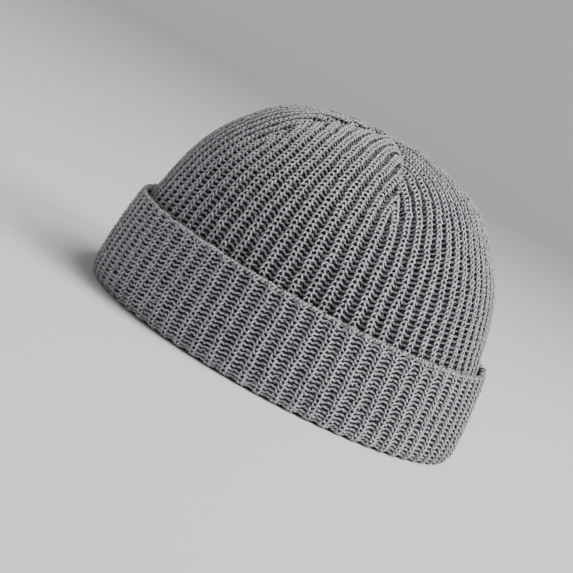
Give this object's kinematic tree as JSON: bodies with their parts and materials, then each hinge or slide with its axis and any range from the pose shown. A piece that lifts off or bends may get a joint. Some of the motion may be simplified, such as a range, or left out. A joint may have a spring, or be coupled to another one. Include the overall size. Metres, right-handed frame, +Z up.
{
  "type": "fisherman beanie",
  "caption": "Short ribbed knit cap with a deep turned-up cuff and a rounded crown closed by darted seams, standing on its fold.",
  "frame": {"origin": "middle of the ring that the cap rests on, at the lowest point of its fold", "axes": "+Z up through the middle of the crown, X along two opposite crown seams, -Y the front"},
  "size_m": [0.1994, 0.1994, 0.1237],
  "materials": {
    "rib_knit": "chunky grey melange rib knit, matt and slightly fuzzy"
  },
  "bodies": {
    "root": {"crown": "rib_knit", "cuff": "rib_knit"}
  },
  "joints": []
}
